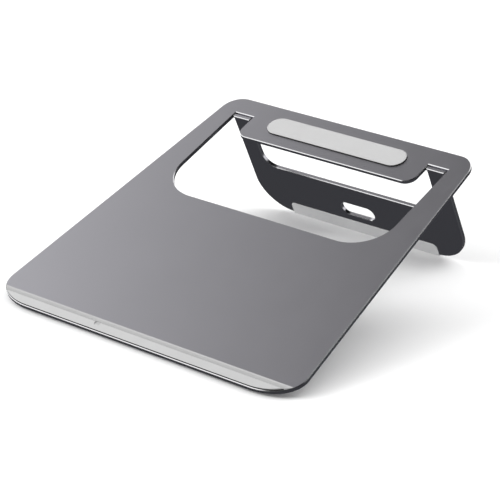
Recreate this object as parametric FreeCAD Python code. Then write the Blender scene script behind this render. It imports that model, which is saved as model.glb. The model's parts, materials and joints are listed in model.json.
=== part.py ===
import FreeCAD, Part
import math
import os

V = FreeCAD.Vector

# A folding laptop stand cut from flat aluminium sheet. Millimetres.
# The plate is drawn lying flat: X across it, Y from the back of its front stop to its rear edge,
# and its upper face on Z = 0. The leg is drawn folded flat into the plate's opening.
# Everything is then placed with the leg open, standing on the floor Z = 0.

# ---- driving dimensions ----
SHEET = 2.8                 # thickness of the plate and the leg
FRONT_WIDTH = 240.0         # plate's width at Y = 0
REAR_WIDTH = 199.0          # plate's width at the rear edge, before its corners are rounded
LENGTH = 222.0              # from Y = 0 to the rear edge
REAR_CORNER = 14.0
FRONT_EDGE = -10.7
FRONT_CORNER_X = 31.0       # oval front corners: reach along the front edge
FRONT_CORNER_Y = 20.5       # and along the side

OPENING_WIDTH = 174.0       # the large opening that the leg folds into
OPENING_FRONT = 120.2       # its front edge
OPENING_CORNER = 27.0
TONGUE_WIDTH = 143.0        # the tongue between the leg's two arms
TONGUE_FRONT = 185.7
TONGUE_CORNER = 8.0
SLOT_REAR = 206.7           # rear wall of the slots beside the tongue, at the upper face

HINGE_Y = 204.0             # the leg's axis, at half the sheet's thickness
OPEN_ANGLE = 96.0           # from folded flat to open against the stop, degrees
STOP_GAP = 0.1              # between the open leg and the stop edge

LEG_GAP = 1.0               # between the folded leg's outline and the opening
LEG_END = 1.2               # the arms' ends reach this far beyond the axis
LEG_EDGE = 81.4             # from the axis to the leg's lower edge
WINDOW_WIDTH = 145.0        # between the arms
WINDOW_DEPTH = 39.8         # from the axis to the window's lower edge
WINDOW_CORNER = 10.0
FINGER_WIDTH = 27.4
FINGER_HEIGHT = 10.6
FINGER_CENTRE = 61.3        # from the axis

PIN_DIAMETER = 1.6
PIN_CLEARANCE = 0.05        # radial, in the leg's bores
PIN_DEPTH = 9.0             # into the tongue
PIN_RECESS = 0.2            # below the plate's side edge, and clear of its bore's blind end
PIN_CHAMFER = 0.2
WASHER_DIAMETER = 2.6
WASHER_PLAY = 0.15          # on each side of a washer

PAD_LENGTH = 110.6          # grip pad on the tongue, a rounded bar
PAD_WIDTH = 16.8
PAD_CENTRE = 203.7
PAD_HEIGHT = 0.95           # above the plate
PAD_POCKET = 0.3            # depth of its pocket
PAD_GAP = 0.25              # between the pad and its pocket
PAD_TAPE_TOP = 0.55         # foam tape under the pad, above the plate

STOP_INSET = 0.5            # front stop: from the plate's edge
STOP_TOE = 0.1              # its height at Y = 0
STOP_RAMP = (-2.8, 0.65)    # a point (y, z) on its hollow ramp
STOP_CREST = (-4.9, 1.95)
STOP_FRONT = 1.1            # its height at the plate's front edge
STOP_TAPE = 0.9             # thickness of the foam tape under it
STOP_TAPE_REAR = -3.9
NICK_X = -32.0              # small nick in the stop's crest
NICK_WIDTH = 4.6
NICK_REAR = -3.9
NICK_FRONT = -7.8
NICK_CORNER = 2.2
NICK_FLOOR = 1.1            # its height at the crest
NICK_SLOPE = 9.0            # its floor rises towards the front, degrees

STRIP_LENGTH = 122.0        # silicone shoe on the leg's lower edge
STRIP_TOP = 72.1            # from the axis to its upper edge
STRIP_CORNER = 3.5
STRIP_LEAF = 0.8            # thickness of its two leaves, let into the leg's faces
STRIP_GAP = 0.2
STRIP_EDGE = 83.3           # from the axis to its lowest point

FOOT_LENGTH = 44.0          # front feet, rounded bars under the plate
FOOT_WIDTH = 10.0
FOOT_THICKNESS = 1.7
FOOT_SPREAD = 74.0          # from the centre line to the middle of each foot
FOOT_CENTRE = -3.5
FOOT_TAPE = 0.15            # adhesive film above each foot
TAPE_INSET = 0.5            # from the foot's edge

TOP_CHAMFER = 0.4           # bright cut edges on the upper face
UNDER_CHAMFER = 0.4

# ---- worked out ----
TAPER = (FRONT_WIDTH - REAR_WIDTH) / 2 / LENGTH
LEG_WIDTH = OPENING_WIDTH - 2 * LEG_GAP
LEG_CORNER = OPENING_CORNER - LEG_GAP
HINGE = V(0, HINGE_Y, -SHEET / 2)


def half_width(y):
    """Half of the plate's width at y, along its tapered sides."""
    return FRONT_WIDTH / 2 - TAPER * y


def wire(points):
    """A closed outline in the XY plane.

    A point is (x, y), (x, y, corner radius), or (x, y, reach before, reach after) for an oval corner.
    """
    count = len(points)
    corners = []
    for i, point in enumerate(points):
        here = V(point[0], point[1], 0)
        before = V(points[i - 1][0], points[i - 1][1], 0) - here
        after = V(points[(i + 1) % count][0], points[(i + 1) % count][1], 0) - here
        before.normalize()
        after.normalize()
        if len(point) == 2:
            corners.append((here, None, here))
        elif len(point) == 3:
            half = before.getAngle(after) / 2
            reach = point[2] / math.tan(half)
            middle = before + after
            middle.normalize()
            crest = here + middle * (point[2] / math.sin(half) - point[2])
            start, end = here + before * reach, here + after * reach
            corners.append((start, Part.Arc(start, crest, end), end))
        else:
            start, end = here + before * point[2], here + after * point[3]
            oval = Part.BezierCurve()
            oval.setPoles([start, here, end])
            oval.setWeight(2, math.sqrt(0.5))
            corners.append((start, oval, end))
    edges = []
    for i, (start, curve, end) in enumerate(corners):
        if curve:
            edges.append(curve.toShape())
        following = corners[(i + 1) % count][0]
        if end.distanceToPoint(following) > 1e-6:
            edges.append(Part.LineSegment(end, following).toShape())
    return Part.Wire(edges)


def prism(points, low, high):
    """An outline extruded from Z = low to Z = high."""
    face = Part.Face(wire(points))
    face.translate(V(0, 0, low))
    return face.extrude(V(0, 0, high - low))


def bar_outline(length, width, x=0.0, y=0.0):
    """A bar with full round ends."""
    a, b = length / 2, width / 2
    return [(x - a, y - b, b), (x + a, y - b, b), (x + a, y + b, b), (x - a, y + b, b)]


def rod(diameter, x0, x1):
    """A cylinder on the hinge axis from x0 to x1."""
    return Part.makeCylinder(diameter / 2, x1 - x0, V(x0, HINGE.y, HINGE.z), V(1, 0, 0))


def mirrored(shape):
    return shape.mirror(V(0, 0, 0), V(1, 0, 0))


def edges_at(shape, z):
    """The edges lying on one face of a sheet part."""
    return [e for e in shape.Edges if abs(e.BoundBox.ZMin - z) < NEAR and abs(e.BoundBox.ZMax - z) < NEAR]


# ---- the plate ----
BEYOND = 1.0                # how far cutting shapes run past the sheet's faces
NEAR = 1e-3                 # tolerance when picking edges


def plate_outline(inset):
    """The plate's outline, moved inwards."""
    side = inset * math.hypot(1, TAPER)
    front, rear = FRONT_EDGE + inset, LENGTH - inset
    wide, narrow = half_width(front) - side, half_width(rear) - side
    along, back = FRONT_CORNER_X - inset, FRONT_CORNER_Y - inset
    return [(wide, front, along, back), (narrow, rear, REAR_CORNER - inset),
            (-narrow, rear, REAR_CORNER - inset), (-wide, front, back, along)]


def opening_cut():
    """The opening, with the tongue left standing in it and the slots' rear walls leaned as stops."""
    half_opening, half_tongue = OPENING_WIDTH / 2, TONGUE_WIDTH / 2
    low, high = -SHEET - BEYOND, BEYOND
    window = prism([(-half_opening, HINGE_Y),
                    (-half_opening, OPENING_FRONT, OPENING_CORNER),
                    (half_opening, OPENING_FRONT, OPENING_CORNER),
                    (half_opening, HINGE_Y)], low, high)
    tongue = prism([(-half_tongue, LENGTH),
                    (-half_tongue, TONGUE_FRONT, TONGUE_CORNER),
                    (half_tongue, TONGUE_FRONT, TONGUE_CORNER),
                    (half_tongue, LENGTH)], low, high)
    cut = window.cut(tongue)
    # the open leg's rear face meets the slot's lower rear edge
    stop = HINGE_Y + SHEET / 2 * math.tan(math.radians(OPEN_ANGLE) / 2) + STOP_GAP
    lean = (SLOT_REAR - stop) / SHEET
    corners = [V(0, HINGE_Y - BEYOND, high), V(0, SLOT_REAR + lean * BEYOND, high),
               V(0, stop - lean * BEYOND, low), V(0, HINGE_Y - BEYOND, low)]
    for x in (-half_opening, half_tongue):
        end = Part.Face(Part.makePolygon(corners + corners[:1]))
        end.translate(V(x, 0, 0))
        cut = cut.fuse(end.extrude(V(half_opening - half_tongue, 0, 0)))
    return cut.removeSplitter()


def make_top_plate():
    plate = prism(plate_outline(0), -SHEET, 0).cut(opening_cut())
    plate = plate.makeChamfer(TOP_CHAMFER, edges_at(plate, 0))
    plate = plate.makeChamfer(UNDER_CHAMFER, edges_at(plate, -SHEET))
    pocket = bar_outline(PAD_LENGTH + 2 * PAD_GAP, PAD_WIDTH + 2 * PAD_GAP, 0, PAD_CENTRE)
    plate = plate.cut(prism(pocket, -PAD_POCKET, BEYOND))
    bore = rod(PIN_DIAMETER, TONGUE_WIDTH / 2 - PIN_DEPTH - PIN_RECESS, FRONT_WIDTH / 2)
    return plate.cut(bore).cut(mirrored(bore)).removeSplitter()


# ---- the leg, drawn folded ----
def strip_outline(grow):
    """The silicone shoe's outline on the leg, grown by a gap."""
    x = STRIP_LENGTH / 2 + grow
    top = HINGE_Y - STRIP_TOP + grow
    bottom = HINGE_Y - STRIP_EDGE
    corner = STRIP_CORNER + grow
    return [(-x, bottom), (x, bottom), (x, top, corner), (-x, top, corner)]


def make_rear_leg():
    outer, inner = LEG_WIDTH / 2, WINDOW_WIDTH / 2
    end, foot, sill = HINGE_Y + LEG_END, HINGE_Y - LEG_EDGE, HINGE_Y - WINDOW_DEPTH
    leg = prism([(-outer, foot, LEG_CORNER), (outer, foot, LEG_CORNER), (outer, end),
                 (inner, end), (inner, sill, WINDOW_CORNER),
                 (-inner, sill, WINDOW_CORNER), (-inner, end), (-outer, end)], -SHEET, 0)
    finger = bar_outline(FINGER_WIDTH, FINGER_HEIGHT, 0, HINGE_Y - FINGER_CENTRE)
    leg = leg.cut(prism(finger, -SHEET - BEYOND, BEYOND))
    leg = leg.makeChamfer(UNDER_CHAMFER, edges_at(leg, 0) + edges_at(leg, -SHEET))
    for low, high in ((-STRIP_LEAF, BEYOND), (-SHEET - BEYOND, STRIP_LEAF - SHEET)):
        leg = leg.cut(prism(strip_outline(STRIP_GAP), low, high))
    bore = rod(PIN_DIAMETER + 2 * PIN_CLEARANCE, -outer - BEYOND, outer + BEYOND)
    return leg.cut(bore).removeSplitter()


def floor_slope():
    """The plate's slope, from the front feet's front edge and the shoe's lowest line, leg open."""
    opened = math.radians(OPEN_ANGLE)
    toe_y = HINGE.y - STRIP_EDGE * math.cos(opened)
    toe_z = HINGE.z - STRIP_EDGE * math.sin(opened)
    front_y = FOOT_CENTRE - FOOT_WIDTH / 2
    front_z = -SHEET - FOOT_TAPE - FOOT_THICKNESS
    return math.degrees(math.atan2(front_z - toe_z, toe_y - front_y))


def make_leg_foot_strip():
    """Wraps the leg's lower edge, and is cut to lie flat on the floor with the leg open."""
    strip = prism(strip_outline(0), -SHEET, 0)
    core = Part.makeBox(2 * STRIP_LENGTH, LEG_EDGE, SHEET - 2 * STRIP_LEAF,
                        V(-STRIP_LENGTH, HINGE_Y - LEG_EDGE, STRIP_LEAF - SHEET))
    lean = math.tan(math.radians(OPEN_ANGLE - 90 + floor_slope()))
    lowest = HINGE_Y - STRIP_EDGE
    heel = Part.makePolygon([V(0, lowest, -SHEET / 2), V(0, lowest + lean * SHEET / 2, 0),
                             V(0, lowest, 0), V(0, lowest, -SHEET / 2)])
    heel = Part.Face(heel)
    heel.translate(V(-STRIP_LENGTH, 0, 0))
    return strip.cut(core).cut(heel.extrude(V(2 * STRIP_LENGTH, 0, 0)))


# ---- hinge hardware ----
def make_hinge_pin():
    start = TONGUE_WIDTH / 2 - PIN_DEPTH
    end = half_width(HINGE_Y) - PIN_RECESS
    pin = rod(PIN_DIAMETER, start, end)
    rims = [edge for edge in pin.Edges if edge.Curve.TypeId == "Part::GeomCircle"]
    return pin.makeChamfer(PIN_CHAMFER, rims)


def make_washer(low, high):
    """A thin washer on the pin, with play on both sides."""
    x0, x1 = low + WASHER_PLAY, high - WASHER_PLAY
    return rod(WASHER_DIAMETER, x0, x1).cut(rod(PIN_DIAMETER + PIN_CLEARANCE, x0 - BEYOND, x1 + BEYOND))


# ---- soft pieces ----
def make_grip_pad():
    pad = prism(bar_outline(PAD_LENGTH, PAD_WIDTH, 0, PAD_CENTRE), PAD_TAPE_TOP, PAD_HEIGHT)
    return pad.makeFillet((PAD_HEIGHT - PAD_TAPE_TOP) / 2, edges_at(pad, PAD_HEIGHT))


def make_grip_tape():
    return prism(bar_outline(PAD_LENGTH, PAD_WIDTH, 0, PAD_CENTRE), -PAD_POCKET, PAD_TAPE_TOP)


def make_stop_tape():
    """Foam tape that follows the plate's front edge and corners."""
    front = Part.makeBox(FRONT_WIDTH, STOP_TAPE_REAR - FRONT_EDGE, STOP_TAPE,
                         V(-FRONT_WIDTH / 2, FRONT_EDGE, 0))
    return prism(plate_outline(STOP_INSET), 0, STOP_TAPE).common(front)


def make_front_stop():
    """A low ridge along the front: a hollow ramp behind, a gentle fall in front, and a small nick."""
    toe, crest = V(0, 0, STOP_TOE), V(0, *STOP_CREST)
    front = V(0, FRONT_EDGE, STOP_FRONT)
    edges = [Part.LineSegment(V(0, 0, 0), toe).toShape(),
             Part.Arc(toe, V(0, *STOP_RAMP), crest).toShape(),
             Part.LineSegment(crest, front).toShape(),
             Part.LineSegment(front, V(0, FRONT_EDGE, 0)).toShape(),
             Part.LineSegment(V(0, FRONT_EDGE, 0), V(0, 0, 0)).toShape()]
    profile = Part.Face(Part.Wire(edges))
    profile.translate(V(-FRONT_WIDTH / 2, 0, 0))
    ridge = profile.extrude(V(FRONT_WIDTH, 0, 0))
    ridge = ridge.common(prism(plate_outline(STOP_INSET), 0, STOP_CREST[1] + BEYOND))
    half = NICK_WIDTH / 2
    nick = prism([(NICK_X - half, NICK_FRONT, NICK_CORNER), (NICK_X + half, NICK_FRONT, NICK_CORNER),
                  (NICK_X + half, NICK_REAR), (NICK_X - half, NICK_REAR)],
                 NICK_FLOOR, STOP_CREST[1] + BEYOND)
    nick.rotate(V(0, STOP_CREST[0], NICK_FLOOR), V(1, 0, 0), -NICK_SLOPE)
    return ridge.cut(nick).cut(make_stop_tape())


def make_front_foot(x):
    low = -SHEET - FOOT_TAPE - FOOT_THICKNESS
    return prism(bar_outline(FOOT_LENGTH, FOOT_WIDTH, x, FOOT_CENTRE), low, low + FOOT_THICKNESS)


def make_front_foot_tape(x):
    film = bar_outline(FOOT_LENGTH - 2 * TAPE_INSET, FOOT_WIDTH - 2 * TAPE_INSET, x, FOOT_CENTRE)
    return prism(film, -SHEET - FOOT_TAPE, -SHEET)


# ---- assembly ----
def on_plate():
    pin = make_hinge_pin()
    inner_washer = make_washer(TONGUE_WIDTH / 2, WINDOW_WIDTH / 2)
    outer_washer = make_washer(LEG_WIDTH / 2, OPENING_WIDTH / 2)
    return {
        "top_plate": make_top_plate(),
        "hinge_pin_right": pin,
        "hinge_pin_left": mirrored(pin),
        "hinge_washer_right_inner": inner_washer,
        "hinge_washer_left_inner": mirrored(inner_washer),
        "hinge_washer_right_outer": outer_washer,
        "hinge_washer_left_outer": mirrored(outer_washer),
        "laptop_grip_pad": make_grip_pad(),
        "laptop_grip_tape": make_grip_tape(),
        "front_stop_strip": make_front_stop(),
        "front_stop_tape": make_stop_tape(),
        "front_foot_right": make_front_foot(FOOT_SPREAD),
        "front_foot_left": make_front_foot(-FOOT_SPREAD),
        "front_foot_tape_right": make_front_foot_tape(FOOT_SPREAD),
        "front_foot_tape_left": make_front_foot_tape(-FOOT_SPREAD),
    }


def on_leg():
    return {
        "rear_leg": make_rear_leg(),
        "leg_foot_strip": make_leg_foot_strip(),
    }


def standing(nodes_on_plate, nodes_on_leg):
    """The open stand on the floor, centred on X and Y."""
    for shape in nodes_on_leg.values():
        shape.rotate(HINGE, V(1, 0, 0), OPEN_ANGLE)
    nodes = {**nodes_on_plate, **nodes_on_leg}
    for shape in nodes.values():
        shape.rotate(V(0, 0, 0), V(1, 0, 0), floor_slope())
    box = Part.Compound(list(nodes.values())).optimalBoundingBox()
    for shape in nodes.values():
        shape.translate(V(0, -box.Center.y, -box.ZMin))
    return nodes


os.makedirs("parts", exist_ok=True)
PARTS = standing(on_plate(), on_leg())
for name, shape in PARTS.items():
    solid, = shape.Solids
    solid.exportStep(f"parts/{name}.step")
    print(name, solid.isValid(), round(solid.Volume, 1))
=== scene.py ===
import json
import math

import bmesh
import bpy
from mathutils import Matrix, Vector


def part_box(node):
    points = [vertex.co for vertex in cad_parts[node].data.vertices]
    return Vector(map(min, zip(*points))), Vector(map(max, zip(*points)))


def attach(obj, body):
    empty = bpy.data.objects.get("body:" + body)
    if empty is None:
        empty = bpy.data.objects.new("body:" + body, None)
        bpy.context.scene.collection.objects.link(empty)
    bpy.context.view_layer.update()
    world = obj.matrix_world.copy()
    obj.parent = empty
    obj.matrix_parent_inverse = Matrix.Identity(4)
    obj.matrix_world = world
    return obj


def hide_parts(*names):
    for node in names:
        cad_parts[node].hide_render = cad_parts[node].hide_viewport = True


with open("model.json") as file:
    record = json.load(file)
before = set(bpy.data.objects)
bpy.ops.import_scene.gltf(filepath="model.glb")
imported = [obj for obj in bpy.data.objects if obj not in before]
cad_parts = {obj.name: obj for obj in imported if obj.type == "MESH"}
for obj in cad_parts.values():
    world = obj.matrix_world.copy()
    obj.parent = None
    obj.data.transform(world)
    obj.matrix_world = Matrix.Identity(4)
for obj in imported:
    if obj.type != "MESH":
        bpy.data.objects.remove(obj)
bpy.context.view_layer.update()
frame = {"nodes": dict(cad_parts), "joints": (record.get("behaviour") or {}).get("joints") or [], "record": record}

# A folding aluminium laptop stand. Metres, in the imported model's frame: the stand is open on the floor
# Z = 0, with its front stop towards -Y. Small sizes are written in millimetres times MM.
MM = 0.001

# ---- where the sheet lies, from the frame ----

MOUNTS = {mount["name"]: mount for mount in frame["record"]["mounts"]}
OPENED = Matrix.Rotation(math.radians(frame["joints"][0]["range_deg"][1]), 3, "X")
ACROSS = Vector((1, 0, 0))
PLATE_UP = Vector(MOUNTS["laptop_rest"]["axis"])
PLATE_BACK = PLATE_UP.cross(ACROSS)
LEG_FRONT = OPENED @ PLATE_UP       # square to the leg's front face

# ---- driving dimensions of the soft pieces ----
PAD_TOP = Vector(MOUNTS["laptop_rest"]["pos_m"])
PAD_LENGTH = 110.6 * MM
PAD_WIDTH = 16.8 * MM
PAD_HEIGHT = 0.4 * MM               # above its foam tape, to its crown
PAD_ROUND = 0.18 * MM
PAD_CROWN = 0.08 * MM
FOOT_LENGTH = 44 * MM
FOOT_WIDTH = 10 * MM
FOOT_HEIGHT = 1.7 * MM
FOOT_ROUND = 0.25 * MM
FOOT_CROWN = 0.05 * MM
SHOE_ROUND = 0.18 * MM
STOP_ROUND = 0.1 * MM

# ---- finish ----
ANODISED = (0.401, 0.395, 0.425)      # grey anodised, bead-blasted
BRIGHT_CUT = (0.66, 0.66, 0.67)       # the chamfers, taken as cut after anodising
SILICONE = (0.46, 0.46, 0.461)
SHOE_SILICONE_PAINTED_LIGHT = (0.675, 0.675, 0.681)  # painted light: the pad's silicone made lighter, in place of light that this studio doesn't give the shoe
BLAST_GRAIN = 3600                  # noise cells per metre
SKIN_GRAIN = 2600

# ---- view and light ----
CAMERA_AIM = Vector((1.2, -8.8, 29.5)) * MM
CAMERA_DISTANCE = 1.4082
CAMERA_AZIMUTH = 39.03
CAMERA_ELEVATION = 22.84
CAMERA_ROLL = 0.12
CAMERA_LENS = 160.1
WALLS = 1.5                         # world strengths: the bright walls
CEILING = 0.385                     # the ceiling where it is square to CEILING_DARKENS
CEILING_FALL = 8.6                  # how steeply it darkens in that direction
CEILING_DARKENS = (0.776, 0.487, 0.400)
DARK_SIDE = (0.58, -0.716, 0.388)   # direction of the dark wall by the viewer
DARK_WALL = 0.06
BELOW = 0.09                        # below the horizon, which only the metal sees
BELOW_TINT = (1.02, 1.05, 1.13)


# ================= shader helpers =================
class Tree:
    """A node tree with short calls for adding and linking nodes."""

    def __init__(self, owner):
        owner.use_nodes = True
        self.tree = owner.node_tree
        self.tree.nodes.clear()

    def add(self, kind, inputs=None, **settings):
        node = self.tree.nodes.new(kind)
        for name, value in settings.items():
            setattr(node, name, value)
        for name, value in (inputs or {}).items():
            self.put(node.inputs[name], value)
        return node

    def put(self, socket, value):
        if isinstance(value, bpy.types.NodeSocket):
            self.tree.links.new(value, socket)
        else:
            socket.default_value = value

    def math(self, operation, *values):
        inputs = dict(enumerate(values))
        return self.add("ShaderNodeMath", inputs, operation=operation).outputs[0]

    def vector(self, operation, *values, output="Vector"):
        inputs = dict(enumerate(values))
        return self.add("ShaderNodeVectorMath", inputs, operation=operation).outputs[output]

    def mix(self, factor, a, b, kind="FLOAT"):
        node = self.add("ShaderNodeMix", data_type=kind)
        sockets = [s for s in node.inputs if s.enabled]
        for socket, value in zip(sockets, (factor, a, b)):
            self.put(socket, value)
        return next(s for s in node.outputs if s.enabled)

    def spread(self, value, low, high, to_low, to_high, smooth=False):
        kind = "SMOOTHSTEP" if smooth else "LINEAR"
        inputs = {"Value": value, "From Min": low, "From Max": high, "To Min": to_low, "To Max": to_high}
        return self.add("ShaderNodeMapRange", inputs, interpolation_type=kind).outputs["Result"]

    def noise(self, position, scale, detail=2.0, roughness=0.5):
        inputs = {"Vector": position, "Scale": scale, "Detail": detail, "Roughness": roughness}
        return self.add("ShaderNodeTexNoise", inputs).outputs["Fac"]


def new_material(name):
    material = bpy.data.materials.new(name)
    return material, Tree(material)


def finish_material(nodes, shader):
    nodes.add("ShaderNodeOutputMaterial", {"Surface": shader.outputs["BSDF"]})


def rgba(colour):
    return (*colour, 1)


# ================= materials =================
def sheet_metal(name, own_up):
    """Bead-blasted, anodised sheet with bright chamfers. own_up is square to the sheet."""
    material, nodes = new_material(name)
    coords = nodes.add("ShaderNodeTexCoord")
    position, normal = coords.outputs["Object"], coords.outputs["Normal"]
    flatness = nodes.math("ABSOLUTE", nodes.vector("DOT_PRODUCT", normal, tuple(own_up), output="Value"))
    chamfer = nodes.math("COMPARE", flatness, math.sqrt(0.5), 0.12)
    wall = nodes.math("LESS_THAN", flatness, 0.4)

    clouds = nodes.noise(position, 14, detail=3)
    shade = nodes.spread(clouds, 0.3, 0.7, 0.985, 1.015)
    anodised = nodes.vector("SCALE", ANODISED)
    nodes.put(anodised.node.inputs["Scale"], shade)
    colour = nodes.mix(chamfer, anodised, rgba(BRIGHT_CUT), kind="RGBA")
    blasted = nodes.spread(nodes.noise(position, 90, detail=1), 0.3, 0.7, 0.292, 0.308)
    milled = nodes.mix(wall, blasted, 0.24)
    roughness = nodes.mix(chamfer, milled, 0.2)

    grain = nodes.noise(position, BLAST_GRAIN, detail=2, roughness=0.6)
    depth = nodes.mix(nodes.math("MAXIMUM", chamfer, wall), 0.07, 0.03)
    bump = nodes.add("ShaderNodeBump", {"Height": grain, "Strength": depth, "Distance": 0.03 * MM})
    shader = nodes.add("ShaderNodeBsdfPrincipled", {
        "Base Color": colour, "Roughness": roughness, "Normal": bump.outputs["Normal"], "Metallic": 1.0})
    finish_material(nodes, shader)
    return material


def silicone(name, colour):
    """Moulded silicone: matt, with a fine eroded skin.

    It is darkened where it faces backwards, in place of shading that the studio doesn't give.
    """
    material, nodes = new_material(name)
    coords = nodes.add("ShaderNodeTexCoord")
    position = coords.outputs["Object"]
    backwards = nodes.vector("DOT_PRODUCT", coords.outputs["Normal"], tuple(PLATE_BACK), output="Value")
    shading = nodes.math("MULTIPLY", nodes.spread(backwards, 0.02, 0.16, 1.0, 0.80),
                         nodes.spread(backwards, 0.16, 0.6, 1.0, 0.75))
    clouds = nodes.spread(nodes.noise(position, 60, detail=4), 0.3, 0.7, 0.98, 1.02)
    shade = nodes.math("MULTIPLY", clouds, shading)
    tinted = nodes.vector("SCALE", colour)
    nodes.put(tinted.node.inputs["Scale"], shade)
    roughness = nodes.spread(nodes.noise(position, 500, detail=2), 0.3, 0.7, 0.5, 0.62)
    skin = nodes.noise(position, SKIN_GRAIN, detail=3, roughness=0.65)
    bump = nodes.add("ShaderNodeBump", {"Height": skin, "Strength": 0.25, "Distance": 0.03 * MM})
    shader = nodes.add("ShaderNodeBsdfPrincipled", {
        "Base Color": tinted, "Roughness": roughness, "Normal": bump.outputs["Normal"],
        "Specular IOR Level": 0.35, "Sheen Weight": 0.08, "Sheen Roughness": 0.5})
    finish_material(nodes, shader)
    return material


def ground_steel(name):
    """Steel pin with fine marks round its axis."""
    material, nodes = new_material(name)
    position = nodes.add("ShaderNodeTexCoord").outputs["Object"]
    rings = nodes.noise(nodes.vector("MULTIPLY", position, (1, 0.02, 0.02)), 9000, detail=2)
    roughness = nodes.spread(rings, 0.3, 0.7, 0.16, 0.3)
    bump = nodes.add("ShaderNodeBump", {"Height": rings, "Strength": 0.15, "Distance": 0.01 * MM})
    shader = nodes.add("ShaderNodeBsdfPrincipled", {
        "Base Color": rgba((0.78, 0.78, 0.79)), "Roughness": roughness,
        "Normal": bump.outputs["Normal"], "Metallic": 1.0})
    finish_material(nodes, shader)
    return material


def plain_plastic(name, colour, low, high, grain):
    """Washers, foam tapes and adhesive films."""
    material, nodes = new_material(name)
    position = nodes.add("ShaderNodeTexCoord").outputs["Object"]
    texture = nodes.noise(position, grain, detail=3)
    tinted = nodes.vector("SCALE", colour)
    nodes.put(tinted.node.inputs["Scale"], nodes.spread(texture, 0.3, 0.7, 0.94, 1.06))
    roughness = nodes.spread(texture, 0.3, 0.7, low, high)
    bump = nodes.add("ShaderNodeBump", {"Height": texture, "Strength": 0.2, "Distance": 0.02 * MM})
    shader = nodes.add("ShaderNodeBsdfPrincipled", {
        "Base Color": tinted, "Roughness": roughness, "Normal": bump.outputs["Normal"]})
    finish_material(nodes, shader)
    return material


# ================= soft pieces =================
def add_piece(name, mesh, material, node, body):
    piece = bpy.data.objects.new(name, mesh)
    bpy.context.scene.collection.objects.link(piece)
    mesh.materials.clear()
    mesh.materials.append(material)
    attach(piece, body)
    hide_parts(node)
    return piece


def stadium(length, width, inset, turn_steps=14, straight_steps=24):
    """Points round a bar with full round ends, inset from its outline."""
    radius = width / 2 - inset
    half = (length - width) / 2
    points = []
    for side in (1, -1):
        for i in range(turn_steps + 1):
            angle = -math.pi / 2 + math.pi * i / turn_steps
            points.append((side * (half + radius * math.cos(angle)), side * radius * math.sin(angle)))
        for i in range(1, straight_steps):
            points.append((side * half * (1 - 2 * i / straight_steps), side * radius))
    return points


def pad_profile(height, rounding, crown, width, steps=6, crown_steps=6):
    """(inset, height) pairs up a pad's side, over its rounded rim and across its crown."""
    rim = height - crown
    profile = [(0, 0), (0, (rim - rounding) / 2)]
    for i in range(steps + 1):
        angle = math.pi / 2 * i / steps
        profile.append((rounding * (1 - math.cos(angle)), rim - rounding * (1 - math.sin(angle))))
    middle = width / 2 - rounding
    for i in range(1, crown_steps + 1):
        share = 0.97 * i / crown_steps
        profile.append((rounding + middle * share, rim + crown * (1 - (1 - share) ** 2)))
    return profile


def pad_mesh(name, length, width, profile, place):
    """A moulded bar: rings of the stadium outline along the profile, closed below and above."""
    shape = bmesh.new()
    rings = []
    for inset, height in profile:
        rings.append([shape.verts.new(place(u, v, height)) for u, v in stadium(length, width, inset)])
    count = len(rings[0])
    for below, above in zip(rings, rings[1:]):
        for i in range(count):
            j = (i + 1) % count
            shape.faces.new((below[i], below[j], above[j], above[i]))
    shape.faces.new(rings[-1])
    shape.faces.new(rings[0][::-1])
    bmesh.ops.triangulate(shape, faces=[f for f in shape.faces if len(f.verts) > 4])
    bmesh.ops.recalc_face_normals(shape, faces=shape.faces)
    mesh = bpy.data.meshes.new(name)
    shape.to_mesh(mesh)
    shape.free()
    mesh.polygons.foreach_set("use_smooth", [True] * len(mesh.polygons))
    return mesh


def grip_pad(material):
    def place(u, v, height):
        return PAD_TOP + u * ACROSS + v * PLATE_BACK + (height - PAD_HEIGHT) * PLATE_UP

    profile = pad_profile(PAD_HEIGHT, PAD_ROUND, PAD_CROWN, PAD_WIDTH)
    mesh = pad_mesh("grip_pad_silicone", PAD_LENGTH, PAD_WIDTH, profile, place)
    add_piece("grip_pad_silicone", mesh, material, "laptop_grip_pad", "plate")


def front_foot(side, material):
    low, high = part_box(f"front_foot_{side}")
    middle = (low + high) / 2

    def place(u, v, height):
        return middle + u * ACROSS + v * PLATE_BACK + (FOOT_HEIGHT / 2 - height) * PLATE_UP

    name = f"front_foot_silicone_{side}"
    profile = pad_profile(FOOT_HEIGHT, FOOT_ROUND, FOOT_CROWN, FOOT_WIDTH)
    mesh = pad_mesh(name, FOOT_LENGTH, FOOT_WIDTH, profile, place)
    add_piece(name, mesh, material, f"front_foot_{side}", "plate")


def moulded(name, node, body, rounding, material):
    """A silicone piece with the node's shape and every moulded edge rounded."""
    shape = bmesh.new()
    shape.from_mesh(frame["nodes"][node].data)
    bmesh.ops.remove_doubles(shape, verts=shape.verts, dist=0.001 * MM)
    bmesh.ops.dissolve_limit(shape, angle_limit=math.radians(2), verts=shape.verts, edges=shape.edges)
    sharp = [e for e in shape.edges if e.is_manifold and e.calc_face_angle() > math.radians(30)]
    bmesh.ops.bevel(shape, geom=sharp, offset=rounding, segments=3, profile=0.5, affect="EDGES",
                    clamp_overlap=True)
    mesh = bpy.data.meshes.new(name)
    shape.to_mesh(mesh)
    shape.free()
    mesh.polygons.foreach_set("use_smooth", [True] * len(mesh.polygons))
    piece = add_piece(name, mesh, material, node, body)
    piece.modifiers.new("even_shading", "WEIGHTED_NORMAL")


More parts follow.
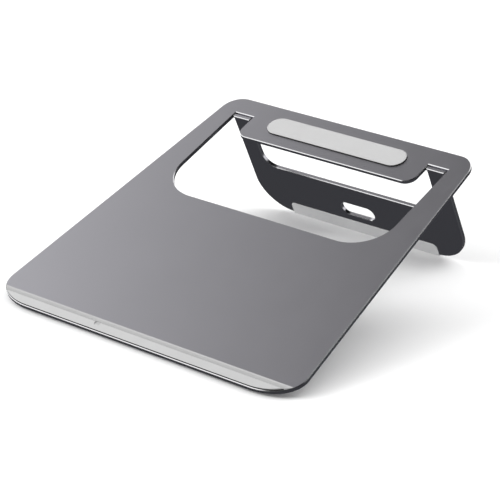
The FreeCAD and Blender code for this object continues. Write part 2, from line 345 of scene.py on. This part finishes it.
# ================= studio =================
def studio_world():
    """Bright walls, dark near the viewer, round a ceiling that darkens towards the right."""
    world = bpy.data.worlds.new("studio")
    bpy.context.scene.world = world
    nodes = Tree(world)
    direction = nodes.add("ShaderNodeTexCoord").outputs["Generated"]
    height = nodes.add("ShaderNodeSeparateXYZ", {0: direction}).outputs["Z"]
    across = nodes.vector("DOT_PRODUCT", direction, CEILING_DARKENS, output="Value")
    fall = nodes.math("EXPONENT", nodes.math("MULTIPLY", across, -CEILING_FALL))
    ceiling = nodes.math("MULTIPLY", CEILING, fall)
    ceiling = nodes.math("MINIMUM", ceiling, WALLS)
    to_viewer = nodes.vector("DOT_PRODUCT", direction, DARK_SIDE, output="Value")
    lower = nodes.spread(to_viewer, 0.55, 0.70, WALLS, DARK_WALL, smooth=True)
    wall = nodes.mix(nodes.spread(height, 0.58, 0.70, 0.0, 1.0, smooth=True), lower, ceiling)
    above = nodes.math("GREATER_THAN", height, -0.01)
    strength = nodes.mix(above, BELOW, wall)
    colour = nodes.mix(above, rgba(BELOW_TINT), rgba((1, 1, 1)), kind="RGBA")
    sky = nodes.add("ShaderNodeBackground", {"Color": colour, "Strength": strength})
    nodes.add("ShaderNodeOutputWorld", {"Surface": sky.outputs[0]})


def studio_floor():
    bpy.ops.mesh.primitive_plane_add(size=24)
    floor = bpy.context.object
    floor.name = "floor"
    material, nodes = new_material("floor_white")
    shader = nodes.add("ShaderNodeBsdfPrincipled", {
        "Base Color": (0.92, 0.92, 0.92, 1), "Roughness": 0.9, "Specular IOR Level": 0.0})
    finish_material(nodes, shader)
    floor.data.materials.append(material)
    floor.visible_glossy = False


def softbox(name, place, side, watts):
    """A square light aimed at the origin, which the metal doesn't reflect."""
    light = bpy.data.lights.new(name, "AREA")
    light.size = side
    light.energy = watts
    lamp = bpy.data.objects.new(name, light)
    lamp.location = place
    lamp.rotation_euler = (-Vector(place)).to_track_quat("-Z", "Y").to_euler()
    lamp.visible_glossy = False
    bpy.context.scene.collection.objects.link(lamp)


def camera():
    lens = bpy.data.cameras.new("camera")
    lens.lens = CAMERA_LENS
    lens.clip_start, lens.clip_end = 0.05, 60
    eye = bpy.data.objects.new("camera", lens)
    turn = (Matrix.Rotation(math.radians(CAMERA_AZIMUTH), 4, "Z")
            @ Matrix.Rotation(math.radians(90 - CAMERA_ELEVATION), 4, "X")
            @ Matrix.Rotation(math.radians(CAMERA_ROLL), 4, "Z"))
    eye.matrix_world = Matrix.Translation(CAMERA_AIM) @ turn @ Matrix.Translation((0, 0, CAMERA_DISTANCE))
    bpy.context.scene.collection.objects.link(eye)
    bpy.context.scene.camera = eye


# ================= the scene =================
def dress_nodes():
    plate_metal = sheet_metal("plate_blasted_aluminium", PLATE_UP)
    leg_metal = sheet_metal("leg_blasted_aluminium", LEG_FRONT)
    steel = ground_steel("pin_ground_steel")
    acetal = plain_plastic("washer_black_acetal", (0.03, 0.03, 0.03), 0.35, 0.5, 1500)
    foam = plain_plastic("tape_black_foam", (0.015, 0.015, 0.015), 0.8, 0.95, 2500)
    film = plain_plastic("adhesive_film", (0.66, 0.66, 0.62), 0.4, 0.55, 900)
    by_start = {"top_plate": plate_metal, "rear_leg": leg_metal, "hinge_pin": steel, "hinge_washer": acetal,
                "laptop_grip_tape": foam, "front_stop_tape": foam, "front_foot_tape": film}
    for name, node in frame["nodes"].items():
        for start, material in by_start.items():
            if name.startswith(start):
                node.material_slots[0].material = material


dress_nodes()
pad_silicone = silicone("pad_silicone", SILICONE)
# the shoe's silicone is the pad's silicone made lighter, which is painted light
shoe_silicone_painted_light = silicone("shoe_silicone_painted_light", SHOE_SILICONE_PAINTED_LIGHT)
grip_pad(pad_silicone)
moulded("leg_shoe_silicone", "leg_foot_strip", "leg", SHOE_ROUND, shoe_silicone_painted_light)
moulded("front_stop_silicone", "front_stop_strip", "plate", STOP_ROUND, pad_silicone)
for side in ("right", "left"):
    front_foot(side, pad_silicone)

studio_world()
studio_floor()
softbox("key", (-1.05, -1.1, 0.95), 1.1, 19)
softbox("fill", (0.2, 0.1, 2.0), 2.4, 22)
softbox("rear_fill", (1.0, 1.2, 1.1), 1.4, 14)
camera()
bpy.context.scene.view_settings.view_transform = "Standard"
